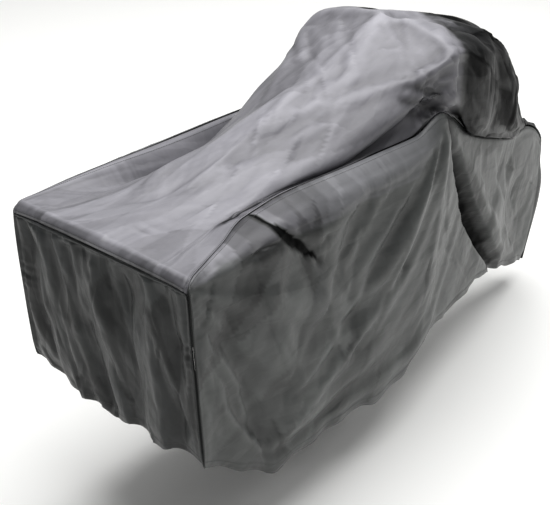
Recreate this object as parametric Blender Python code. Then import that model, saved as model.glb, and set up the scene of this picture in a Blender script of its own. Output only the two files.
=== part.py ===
"""Fitted bicycle cover: four sewn panels of coated cloth, draped as they hang.

Units are metres and +Z is up. The square front faces -Y and the tail +Y. The tables below give heights above the
ground and places behind the front edge. The origin of the part is the point that carries it, under the highest
part of the top, so every finished point is moved there at the end.
"""

from collections import namedtuple

import bpy
import numpy as np

CLOTH = 0.0020  # thickness of the coated cloth
FULLEST = 1.6  # how far the thickness may be drawn out at the corner of a sharp fold
SEAM_GAP = 0.0008  # between the cut edges of two panels, measured round the seam
REST_Y, REST_Z = 1.05, 1.142  # the point under the top that carries the cover

ROWS_PER_STATION = 2  # cross-sections made between two rows of the table

# One row for each cross-section of one half, from the front edge to the tail. The cloth runs from the crown on the
# centre plane over the ridge, down the wall of the tent or hood to its lip, into the tuck and up to the seam, and
# from the seam over the rounded edge and down the belly to the hem. Each pair is (half width, height). The leans
# are how far behind the station the belly and the hem lie.
Station = namedtuple("Station", "y crown ridge wall lip tuck seam edge belly hem belly_lean hem_lean")
STATIONS = (
    Station(0.000, 0.848, (0.100, 0.848), (0.180, 0.847), (0.225, 0.847), (0.260, 0.846),
            (0.2835, 0.845), (0.287, 0.830), (0.291, 0.600), (0.293, 0.388), 0.010, 0.022),
    Station(0.010, 0.867, (0.100, 0.867), (0.180, 0.866), (0.225, 0.865), (0.259, 0.864),
            (0.2830, 0.863), (0.288, 0.838), (0.291, 0.600), (0.293, 0.383), 0.010, 0.022),
    Station(0.030, 0.874, (0.100, 0.873), (0.180, 0.872), (0.222, 0.870), (0.255, 0.869),
            (0.280, 0.870), (0.289, 0.842), (0.292, 0.600), (0.2925, 0.372), 0.008, 0.018),
    Station(0.080, 0.876, (0.100, 0.874), (0.170, 0.871), (0.212, 0.867), (0.245, 0.866),
            (0.276, 0.874), (0.288, 0.845), (0.293, 0.590), (0.2915, 0.345), 0.000, 0.006),
    Station(0.160, 0.884, (0.100, 0.878), (0.160, 0.870), (0.200, 0.862), (0.230, 0.860),
            (0.270, 0.878), (0.287, 0.860), (0.294, 0.580), (0.289, 0.297), 0.000, 0.000),
    Station(0.280, 0.905, (0.095, 0.892), (0.150, 0.873), (0.182, 0.855), (0.210, 0.845),
            (0.262, 0.882), (0.281, 0.866), (0.293, 0.550), (0.285, 0.226), 0.000, 0.000),
    Station(0.400, 0.938, (0.100, 0.912), (0.150, 0.880), (0.176, 0.846), (0.195, 0.826),
            (0.256, 0.885), (0.282, 0.866), (0.291, 0.530), (0.2805, 0.224), 0.000, 0.000),
    Station(0.520, 0.972, (0.110, 0.937), (0.166, 0.888), (0.184, 0.842), (0.196, 0.814),
            (0.252, 0.888), (0.283, 0.858), (0.288, 0.520), (0.273, 0.217), 0.000, 0.000),
    Station(0.640, 1.008, (0.125, 0.968), (0.188, 0.908), (0.193, 0.852), (0.201, 0.818),
            (0.248, 0.891), (0.284, 0.851), (0.283, 0.510), (0.2645, 0.200), 0.000, 0.000),
    Station(0.750, 1.043, (0.140, 1.005), (0.199, 0.955), (0.199, 0.880), (0.204, 0.834),
            (0.243, 0.893), (0.283, 0.848), (0.276, 0.500), (0.2545, 0.180), 0.000, 0.000),
    Station(0.860, 1.082, (0.150, 1.050), (0.206, 1.006), (0.204, 0.920), (0.207, 0.866),
            (0.237, 0.898), (0.280, 0.846), (0.266, 0.490), (0.2435, 0.188), 0.000, 0.000),
    Station(0.960, 1.121, (0.160, 1.094), (0.228, 1.060), (0.224, 0.985), (0.216, 0.930),
            (0.228, 0.936), (0.266, 0.840), (0.250, 0.490), (0.234, 0.232), 0.000, 0.000),
    Station(1.040, 1.145, (0.165, 1.117), (0.240, 1.080), (0.236, 0.960), (0.214, 0.915),
            (0.217, 0.902), (0.240, 0.780), (0.228, 0.500), (0.219, 0.256), 0.000, 0.000),
    Station(1.150, 1.117, (0.160, 1.095), (0.232, 1.010), (0.212, 0.828), (0.191, 0.846),
            (0.193, 0.828), (0.206, 0.715), (0.196, 0.500), (0.198, 0.247), 0.000, 0.000),
    Station(1.270, 1.081, (0.150, 1.055), (0.214, 0.950), (0.194, 0.760), (0.170, 0.784),
            (0.172, 0.768), (0.180, 0.675), (0.174, 0.500), (0.173, 0.248), 0.000, 0.000),
    Station(1.400, 1.033, (0.138, 1.000), (0.196, 0.890), (0.176, 0.708), (0.151, 0.732),
            (0.153, 0.716), (0.160, 0.635), (0.154, 0.480), (0.1455, 0.232), 0.000, 0.000),
    Station(1.520, 0.968, (0.105, 0.925), (0.146, 0.815), (0.146, 0.668), (0.122, 0.690),
            (0.126, 0.674), (0.136, 0.600), (0.130, 0.440), (0.116, 0.200), 0.000, 0.000),
    Station(1.600, 0.885, (0.076, 0.840), (0.108, 0.755), (0.120, 0.656), (0.101, 0.674),
            (0.105, 0.658), (0.114, 0.590), (0.108, 0.410), (0.098, 0.172), 0.000, 0.000),
    Station(1.665, 0.745, (0.054, 0.715), (0.074, 0.684), (0.093, 0.654), (0.083, 0.662),
            (0.087, 0.648), (0.096, 0.580), (0.090, 0.400), (0.081, 0.142), 0.000, 0.000),
    Station(1.750, 0.640, (0.030, 0.638), (0.048, 0.634), (0.060, 0.629), (0.068, 0.625),
            (0.073, 0.616), (0.079, 0.555), (0.074, 0.380), (0.066, 0.116), 0.000, 0.000),
    Station(1.820, 0.592, (0.024, 0.591), (0.038, 0.588), (0.048, 0.584), (0.055, 0.579),
            (0.059, 0.570), (0.064, 0.515), (0.061, 0.360), (0.053, 0.098), 0.008, -0.010),
    Station(1.862, 0.550, (0.018, 0.549), (0.030, 0.547), (0.038, 0.544), (0.044, 0.540),
            (0.048, 0.533), (0.052, 0.480), (0.050, 0.350), (0.046, 0.096), 0.032, -0.030),
)
TOP_POINTS = ("crown", "ridge", "wall", "lip", "tuck", "seam")
TOP_STEPS = (3, 2, 2, 2, 2)  # faces made between each two of these
SIDE_POINTS = ("seam", "edge", "belly", "hem")
SIDE_STEPS = (2, 6, 7)

# The left rim was drawn in and lies further inboard than the right one.
Pull = namedtuple("Pull", "y inward lift")
LEFT_PULL = (
    Pull(0.000, 0.000, 0.000),
    Pull(0.030, 0.010, -0.002),
    Pull(0.080, 0.024, -0.005),
    Pull(0.160, 0.044, -0.005),
    Pull(0.280, 0.073, 0.002),
    Pull(0.400, 0.064, 0.012),
    Pull(0.520, 0.050, 0.012),
    Pull(0.640, 0.037, 0.009),
    Pull(0.750, 0.027, 0.007),
    Pull(0.860, 0.012, 0.005),
    Pull(0.960, 0.000, 0.000),
)
LEFT_TROUGH_SHARE = 0.5  # of that pull, how much the trough beside the rim shares

# A fold is a ridge, or with a negative height a trough, along a straight run. Its ends are (half width, place) on the
# top, (place, height) on the sides and (half width, height) on the front, and it fades out past them.
Fold = namedtuple("Fold", "start end width height")
TOP_FOLDS = (
    Fold((0.05, 0.10), (0.10, 0.36), 0.035, -0.008),
    Fold((-0.10, 0.30), (-0.03, 0.66), 0.040, 0.014),
    Fold((0.03, 0.42), (0.10, 0.78), 0.035, -0.013),
    Fold((-0.14, 0.46), (-0.10, 0.84), 0.035, -0.011),
    Fold((0.10, 0.60), (0.02, 0.98), 0.045, 0.011),
    Fold((0.02, 1.06), (0.15, 1.24), 0.035, -0.014),
    Fold((-0.06, 1.08), (-0.10, 1.34), 0.045, -0.011),
    Fold((0.06, 1.30), (0.10, 1.56), 0.040, -0.017),
    Fold((-0.06, 1.38), (-0.02, 1.60), 0.040, 0.011),
)
LEFT_FOLDS = (
    Fold((0.41, 0.79), (0.54, 0.60), 0.035, -0.011),
    Fold((0.64, 0.85), (0.54, 0.60), 0.040, -0.012),
    Fold((0.54, 0.60), (0.58, 0.48), 0.035, -0.009),
    Fold((0.23, 0.88), (0.39, 0.77), 0.028, -0.024),
    Fold((0.84, 0.76), (0.71, 0.52), 0.040, 0.018),
    Fold((0.71, 0.52), (0.30, 0.34), 0.040, 0.021),
    Fold((0.78, 0.58), (0.58, 0.43), 0.030, -0.015),
    Fold((0.13, 0.65), (0.22, 0.36), 0.030, -0.013),
    Fold((0.26, 0.74), (0.36, 0.45), 0.030, 0.011),
    Fold((1.01, 0.92), (1.10, 0.72), 0.035, -0.032),
    Fold((1.10, 0.72), (1.24, 0.52), 0.040, -0.042),
    Fold((1.24, 0.52), (1.54, 0.22), 0.040, -0.042),
    Fold((1.12, 0.80), (1.32, 0.56), 0.045, 0.022),
    Fold((1.32, 0.56), (1.62, 0.24), 0.045, 0.020),
    Fold((1.55, 0.56), (1.72, 0.30), 0.040, -0.012),
)
RIGHT_FOLDS = (
    Fold((0.30, 0.80), (0.44, 0.46), 0.040, -0.011),
    Fold((0.62, 0.82), (0.50, 0.40), 0.045, 0.014),
    Fold((0.86, 0.80), (0.76, 0.36), 0.045, -0.014),
    Fold((0.99, 0.86), (1.16, 0.60), 0.040, -0.025),
    Fold((1.16, 0.60), (1.48, 0.26), 0.045, -0.034),
    Fold((1.10, 0.82), (1.34, 0.52), 0.045, 0.017),
    Fold((0.12, 0.70), (0.20, 0.42), 0.035, -0.011),
)
FRONT_FOLDS = (
    Fold((-0.24, 0.80), (-0.19, 0.42), 0.022, -0.012),
    Fold((-0.18, 0.82), (-0.10, 0.40), 0.024, 0.013),
    Fold((-0.11, 0.82), (-0.02, 0.42), 0.022, -0.013),
    Fold((-0.02, 0.80), (0.05, 0.38), 0.026, 0.012),
    Fold((0.08, 0.78), (0.10, 0.42), 0.024, -0.012),
    Fold((0.16, 0.74), (0.18, 0.40), 0.028, 0.015),
    Fold((0.24, 0.70), (0.22, 0.40), 0.022, -0.012),
)

FADE_FACES = 3  # how many faces from a seam the folds reach their full height

# The elastic in the hem gathers it into scallops.
HEM_WAVE, HEM_RISE = 0.145, 0.009  # length of one scallop and its height

RIGHT_CORNER_LIFT, RIGHT_CORNER_REACH = 0.060, 0.160  # the hem is drawn up at the right front corner
FRONT_HEM_CURL = 7  # how late along the front that rise comes: 1 is a straight slope


def steady_curve(places, values, at):
    """A smooth curve through the values that never swings past them (monotone cubic)."""
    places, values = np.asarray(places, float), np.asarray(values, float)
    step = np.diff(places)
    rise = np.diff(values, axis=0) / step.reshape(-1, *[1] * (values.ndim - 1))
    slope = np.zeros_like(values)
    agree = rise[:-1] * rise[1:] > 0
    slope[1:-1] = np.where(agree, 2 * rise[:-1] * rise[1:] / np.where(agree, rise[:-1] + rise[1:], 1), 0)
    slope[0], slope[-1] = rise[0], rise[-1]
    k = np.clip(np.searchsorted(places, at) - 1, 0, len(step) - 1)
    t = (at - places[k]) / step[k]
    return ((1 + 2 * t) * (1 - t) ** 2 * values[k] + t * (1 - t) ** 2 * step[k] * slope[k]
            + t * t * (3 - 2 * t) * values[k + 1] - t * t * (1 - t) * step[k] * slope[k + 1])


def control_points(station, names, side):
    """The named points of one station on one side, as rows of (x, y, z)."""
    pull, lift = 0.0, 0.0
    if side > 0 and station.y < LEFT_PULL[-1].y:
        pull, lift = steady_curve([p.y for p in LEFT_PULL], [(p.inward, p.lift) for p in LEFT_PULL], station.y)
    lean = {"belly": station.belly_lean, "hem": station.hem_lean}
    points = []
    for name in names:
        half, height = (0.0, station.crown) if name == "crown" else getattr(station, name)
        if name == "seam":
            half, height = half - pull, height + lift
        elif name in ("tuck", "lip"):
            half = half - LEFT_TROUGH_SHARE * pull
        elif name == "hem" and side < 0:
            height = height + RIGHT_CORNER_LIFT * max(0, 1 - station.y / RIGHT_CORNER_REACH) ** 2
        points.append((side * half, station.y + lean.get(name, 0.0), height))
    return np.array(points)


def section(station, names, steps, side):
    """The points of one cross-section, the given number of faces between each two named ones."""
    points = control_points(station, names, side)
    length = np.r_[0, np.cumsum(np.maximum(np.linalg.norm(np.diff(points, axis=0), axis=1), 1e-4))]
    places = np.concatenate([np.linspace(length[k], length[k + 1], n + 1)[:-1] for k, n in enumerate(steps)]
                            + [length[-1:]])
    return np.array([steady_curve(length, points, s) for s in places])


def lofted(names, steps, side):
    """A grid of points with one row for each cross-section, smooth from the front to the tail."""
    known = np.array([section(station, names, steps, side) for station in STATIONS])
    rows = np.arange(0, len(STATIONS) - 1 + 1e-9, 1 / ROWS_PER_STATION)
    return np.array([steady_curve(np.arange(len(STATIONS)), known, row) for row in rows])


def patch(top, bottom, left, right):
    """A grid between four edges that meet at its corners, top row first."""
    rows, columns = len(left), len(top)
    down = np.linspace(0, 1, rows)[:, None, None]
    across = np.linspace(0, 1, columns)[None, :, None]
    between_rows = (1 - down) * top[None] + down * bottom[None]
    between_columns = (1 - across) * left[:, None] + across * right[:, None]
    corners = ((1 - down) * ((1 - across) * top[0] + across * top[-1])
               + down * ((1 - across) * bottom[0] + across * bottom[-1]))
    return between_rows + between_columns - corners


def even_steps(line, count):
    """The line again, as this many points at even steps along it."""
    length = np.r_[0, np.cumsum(np.linalg.norm(np.diff(line, axis=0), axis=1))]
    at = np.linspace(0, length[-1], count)
    return np.stack([np.interp(at, length, line[:, k]) for k in range(3)], axis=1)


def curled(line):
    """The front hem from the right corner to the left, level but for a short rise at the right corner."""
    left_over = np.linspace(1, 0, len(line)) ** FRONT_HEM_CURL
    level = line.copy()
    level[:, 2] = line[-1, 2] + left_over * (line[0, 2] - line[-1, 2])
    return level


def scalloped(line):
    """The hem line, raised between its gathers."""
    along = np.r_[0, np.cumsum(np.linalg.norm(np.diff(line, axis=0), axis=1))]
    waves = max(1, round(along[-1] / HEM_WAVE))
    raised = line.copy()
    raised[:, 2] += HEM_RISE * np.sin(np.pi * waves * along / along[-1]) ** 2
    return raised


def side_grid(side):
    """One side, front to tail by seam to hem."""
    grid = lofted(SIDE_POINTS, SIDE_STEPS, side)
    rise = scalloped(grid[:, -1]) - grid[:, -1]
    fade = np.clip(np.linspace(-SIDE_STEPS[0] - SIDE_STEPS[1], SIDE_STEPS[2], grid.shape[1]) / SIDE_STEPS[2], 0, 1)
    return grid + fade[None, :, None] ** 2 * rise[:, None]


def cover_grids():
    """The grid of each panel. The edges that two panels share hold the same points."""
    left, right = side_grid(1), side_grid(-1)
    top_left, top_right = lofted(TOP_POINTS, TOP_STEPS, 1), lofted(TOP_POINTS, TOP_STEPS, -1)
    top = np.concatenate([top_right[:, :0:-1], top_left], axis=1)
    columns = top.shape[1]
    front_hem = scalloped(curled(even_steps(np.array([right[0, -1], left[0, -1]]), columns)))
    front = patch(top[0], front_hem, right[0], left[0])
    tail_hem = even_steps(np.array([right[-1, -1], left[-1, -1]]), columns)
    tail = patch(top[-1], tail_hem, right[-1], left[-1])
    return {
        "top_panel": np.concatenate([top, tail[1:]]),
        "front_panel": front,
        "side_panel_left": left,
        "side_panel_right": right,
    }


def surface_normals(grids):
    """Outward normals of the whole cover, so that the panels agree along the edges that they share.

    A normal is longer than 1 on a sharp fold, so that the cloth set off along it stays as thick as elsewhere.
    """
    sums, areas, keys = {}, {}, {}
    for name, grid in grids.items():
        keys[name] = [tuple(key) for key in np.round(grid.reshape(-1, 3) * 1e6).astype(int)]
        down, across = np.diff(grid, axis=0), np.diff(grid, axis=1)
        face = np.cross(down[:, :-1] + down[:, 1:], across[:-1] + across[1:]) * OUTWARD[name]
        sizes = np.linalg.norm(face, axis=-1)
        corners, around = np.zeros_like(grid), np.zeros(grid.shape[:2])
        for i, j in ((0, 0), (0, 1), (1, 0), (1, 1)):
            corners[i:i + face.shape[0], j:j + face.shape[1]] += face
            around[i:i + face.shape[0], j:j + face.shape[1]] += sizes
        for key, normal, size in zip(keys[name], corners.reshape(-1, 3), around.reshape(-1)):
            sums[key] = sums.get(key, 0) + normal
            areas[key] = areas.get(key, 0) + size

    def offset(key):
        length = np.linalg.norm(sums[key])
        return sums[key] / length * min(areas[key] / length, FULLEST)

    return {name: np.array([offset(key) for key in keys[name]]).reshape(grid.shape)
            for name, grid in grids.items()}


def unit(vectors):
    return vectors / np.linalg.norm(vectors, axis=-1, keepdims=True)


def fold_height(flat, folds):
    """How far the folds lift each point of a panel. flat holds its two coordinates in the folds' own plane.

    Where ridges meet, the highest counts, and where troughs meet, the deepest, so that a bent fold is even.
    """
    ridge, trough = np.zeros(flat.shape[:-1]), np.zeros(flat.shape[:-1])
    for fold in folds:
        start, end = np.array(fold.start), np.array(fold.end)
        run = end - start
        along = ((flat - start) @ run) / (run @ run)
        away = np.linalg.norm(flat - start - np.clip(along, 0, 1)[..., None] * run, axis=-1)
        lift = fold.height * np.exp(-((away / fold.width) ** 2))
        ridge, trough = np.maximum(ridge, lift), np.minimum(trough, lift)
    return ridge + trough


def seam_fade(shape):
    """0 on the sewn edges of a panel, rising to 1 a few faces in. The last row is the free hem."""
    down = np.arange(shape[0])
    across = np.minimum(np.arange(shape[1]), np.arange(shape[1])[::-1])
    return np.minimum(np.minimum(down[:, None], across[None]) / FADE_FACES, 1)


def folded(grids):
    """The grids with their folds raised."""
    normals = surface_normals(grids)
    top, front, left, right = (grids[name] for name in PANELS)
    heights = {
        "top_panel": fold_height(top[..., :2], TOP_FOLDS) * seam_fade(top.shape),
        "front_panel": fold_height(front[..., ::2], FRONT_FOLDS) * seam_fade(front.shape),
        "side_panel_left": fold_height(left[..., 1:], LEFT_FOLDS) * seam_fade(left.shape[1::-1]).T,
        "side_panel_right": fold_height(right[..., 1:], RIGHT_FOLDS) * seam_fade(right.shape[1::-1]).T,
    }
    return {name: grid + heights[name][..., None] * unit(normals[name]) for name, grid in grids.items()}


def cut_back(grid, sewn):
    """The grid with each sewn edge drawn in by half of the seam's gap."""
    grid = grid.copy()
    for edge in sewn:
        view = np.moveaxis(grid, EDGE_AXIS[edge][0], 0)[::EDGE_AXIS[edge][1]]
        inward = view[1] - view[0]
        view[0] += SEAM_GAP / 2 * inward / np.linalg.norm(inward, axis=-1, keepdims=True)
    return grid


def triangles(grid):
    """The grid's faces, each cut along its shorter diagonal, so that both sides of the cloth crease alike."""
    index = np.arange(grid.shape[0] * grid.shape[1]).reshape(grid.shape[:2])
    a, b, c, d = (corner.reshape(-1) for corner in (index[:-1, :-1], index[1:, :-1], index[1:, 1:], index[:-1, 1:]))
    points = grid.reshape(-1, 3)
    first = (np.linalg.norm(points[a] - points[c], axis=1) <= np.linalg.norm(points[b] - points[d], axis=1))[:, None]
    return np.concatenate([np.where(first, np.stack([a, b, c], 1), np.stack([a, b, d], 1)),
                           np.where(first, np.stack([a, c, d], 1), np.stack([b, c, d], 1))])


def sheet_solid(name, grid, normals, sewn, colour, collection):
    """One panel as a closed sheet: its outer face is the grid, its inner face lies a cloth's thickness inside."""
    outer = cut_back(grid, sewn)
    inner = cut_back(grid - CLOTH * normals, sewn)
    index = np.arange(grid.shape[0] * grid.shape[1]).reshape(grid.shape[:2])
    faces = triangles(grid)
    border = np.concatenate([index[0, :-1], index[:-1, -1], index[-1, :0:-1], index[:0:-1, 0]])
    after = np.roll(border, -1)
    rim = np.concatenate([np.stack([border, after, after + index.size], axis=-1),
                          np.stack([border, after + index.size, border + index.size], axis=-1)])
    if OUTWARD[name] < 0:
        faces, rim = faces[:, ::-1], rim[:, ::-1]
    shell = np.concatenate([faces, faces[:, ::-1] + index.size, rim])
    points = np.concatenate([outer.reshape(-1, 3), inner.reshape(-1, 3)]) - (0, REST_Y, REST_Z)
    mesh = bpy.data.meshes.new(name)
    mesh.from_pydata(points.tolist(), [], shell.tolist())
    mesh.validate()
    mesh.shade_smooth()
    mesh.materials.append(coated_cloth(name + "_cloth", colour))
    panel = bpy.data.objects.new(name, mesh)
    collection.objects.link(panel)
    return panel


def coated_cloth(name, colour):
    """Dark grey polyester with a water-tight coating."""
    material = bpy.data.materials.new(name)
    material.use_nodes = True
    shader = material.node_tree.nodes["Principled BSDF"]
    shader.inputs["Base Color"].default_value = (*colour, 1)
    shader.inputs["Roughness"].default_value = 0.55
    shader.inputs["Metallic"].default_value = 0.0
    return material


PANELS = {  # which edges of each panel are sewn, and its colour
    "top_panel": (("first row", "first column", "last column"), (0.060, 0.062, 0.064)),
    "front_panel": (("first row", "first column", "last column"), (0.052, 0.054, 0.055)),
    "side_panel_left": (("first row", "last row", "first column"), (0.056, 0.058, 0.059)),
    "side_panel_right": (("first row", "last row", "first column"), (0.054, 0.056, 0.057)),
}
EDGE_AXIS = {"first row": (0, 1), "last row": (0, -1), "first column": (1, 1), "last column": (1, -1)}
OUTWARD = {"top_panel": -1, "front_panel": 1, "side_panel_left": -1, "side_panel_right": 1}


def main():
    for old in list(bpy.data.objects):
        bpy.data.objects.remove(old)
    collection = bpy.data.collections.new("bicycle_cover")
    bpy.context.scene.collection.children.link(collection)
    grids = folded(cover_grids())
    normals = surface_normals(grids)
    for name, (sewn, colour) in PANELS.items():
        sheet_solid(name, grids[name], normals[name], sewn, colour, collection)


main()
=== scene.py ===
"""Studio scene of a bicycle cover: four panels of coated polyester, sewn together and draped as they hang.

The part stands in its own frame, in metres: +Z is up, the square front faces -Y and the tail +Y. The tables
give heights above the ground and places behind the front edge, and ORIGIN is the frame's start in them.
"""

import math
from collections import namedtuple
from functools import partial

import bmesh
import bpy
import numpy as np
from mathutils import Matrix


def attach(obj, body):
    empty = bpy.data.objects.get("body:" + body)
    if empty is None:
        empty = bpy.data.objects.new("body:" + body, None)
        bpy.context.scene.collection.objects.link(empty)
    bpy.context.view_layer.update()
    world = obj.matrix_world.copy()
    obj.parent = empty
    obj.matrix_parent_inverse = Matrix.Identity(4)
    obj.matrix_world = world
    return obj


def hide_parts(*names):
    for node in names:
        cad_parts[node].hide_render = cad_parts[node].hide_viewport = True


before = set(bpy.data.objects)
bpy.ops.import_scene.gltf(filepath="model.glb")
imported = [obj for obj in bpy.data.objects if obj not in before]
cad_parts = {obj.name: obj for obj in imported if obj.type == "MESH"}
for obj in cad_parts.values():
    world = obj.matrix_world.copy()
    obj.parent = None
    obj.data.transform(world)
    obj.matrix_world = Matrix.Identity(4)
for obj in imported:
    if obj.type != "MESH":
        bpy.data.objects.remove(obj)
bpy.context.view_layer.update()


# --- Camera, floor and light --------------------------------------------------------------------------------
# The view of the photograph: a low standing view over the near front corner, on a pale floor, under one wide
# soft light above, which makes the level cloth shine and leaves the front in its own shade. Painted light on
# the level cloth and painted shade on the front and in the folds are also put into the cloth's colour below.

ORIGIN = np.array([0, 1.05, 1.142])

camera = bpy.data.objects.new("camera", bpy.data.cameras.new("camera"))
camera.location = (1.8155, -2.517, 0.935)
camera.rotation_euler = (math.radians(61.76), 0, math.radians(41.41))
camera.data.lens, camera.data.sensor_width = 78.545, 36
bpy.context.collection.objects.link(camera)
bpy.context.scene.camera = camera


def linear(code):
    """An sRGB hex colour as linear red, green, blue and alpha."""
    parts = [int(code[k:k + 2], 16) / 255 for k in (1, 3, 5)]
    return tuple(p / 12.92 if p <= 0.04045 else ((p + 0.055) / 1.055) ** 2.4 for p in parts) + (1,)


def node(material, kind, settings=(), **links):
    """One node with its settings, fed by the given sockets or values.

    An input is given by its name, with _ for a space, or by its number after an i.
    """
    made = material.node_tree.nodes.new("ShaderNode" + kind)
    for key, value in dict(settings).items():
        setattr(made, key, value)
    for key, value in links.items():
        name = int(key[1:]) if key[0] == "i" and key[1:].isdigit() else key.replace("_", " ")
        if isinstance(value, bpy.types.NodeSocket):
            material.node_tree.links.new(value, made.inputs[name])
        else:
            made.inputs[name].default_value = value
    return made


FLOOR_HALF, FLOOR_BELOW = 14, 0.002  # half its width, and how far it lies below the ground height
bm = bmesh.new()
bmesh.ops.create_grid(bm, x_segments=1, y_segments=1, size=FLOOR_HALF)
bmesh.ops.translate(bm, verts=bm.verts, vec=(0, 0, -ORIGIN[2] - FLOOR_BELOW))
floor = bpy.data.objects.new("floor", bpy.data.meshes.new("floor"))
bm.to_mesh(floor.data)
bm.free()
bpy.context.collection.objects.link(floor)

# Matt studio paper: no shine, almost white.
paper = bpy.data.materials.new("studio_paper")
paper.use_nodes = True
shader = paper.node_tree.nodes["Principled BSDF"]
shader.inputs["Base Color"].default_value = linear("#F8F8F6")
shader.inputs["Roughness"].default_value = 0.9
floor.data.materials.append(paper)

Light = namedtuple("Light", "name place aim size power")
LIGHTS = (
    Light("overhead", (0.0, 0.2, 5.2), (0, 0, -0.5), 6.5, 520),
    Light("high_left", (3.2, 2.0, 3.0), (0.2, 0, -0.6), 1.6, 26),
    Light("high_back", (-2.6, 3.2, 2.4), (0, 0, -0.3), 2.6, 22),
)
for row in LIGHTS:
    lamp = bpy.data.objects.new(row.name, bpy.data.lights.new(row.name, "AREA"))
    lamp.data.shape, lamp.data.size, lamp.data.energy = "DISK", row.size, row.power
    lamp.location = row.place
    away = np.array(row.place) - np.array(row.aim)
    lamp.rotation_euler = (math.atan2(math.hypot(away[0], away[1]), away[2]), 0,
                           math.atan2(away[1], away[0]) + math.pi / 2)
    bpy.context.collection.objects.link(lamp)

SKY = 0.30  # strength of the white light from all round
world = bpy.data.worlds.new("studio")
world.use_nodes = True
world.node_tree.nodes["Background"].inputs["Color"].default_value = linear("#FFFFFF")
world.node_tree.nodes["Background"].inputs["Strength"].default_value = SKY
bpy.context.scene.world = world
bpy.context.scene.view_settings.view_transform = "Standard"


# --- Top panel ----------------------------------------------------------------------------------------------
# One long strip of coated polyester: the rolled front edge, the level top, the slope up to the highest point,
# the hood behind it and the narrow strip down the tail. It is sewn to the other panels on three sides.

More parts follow.
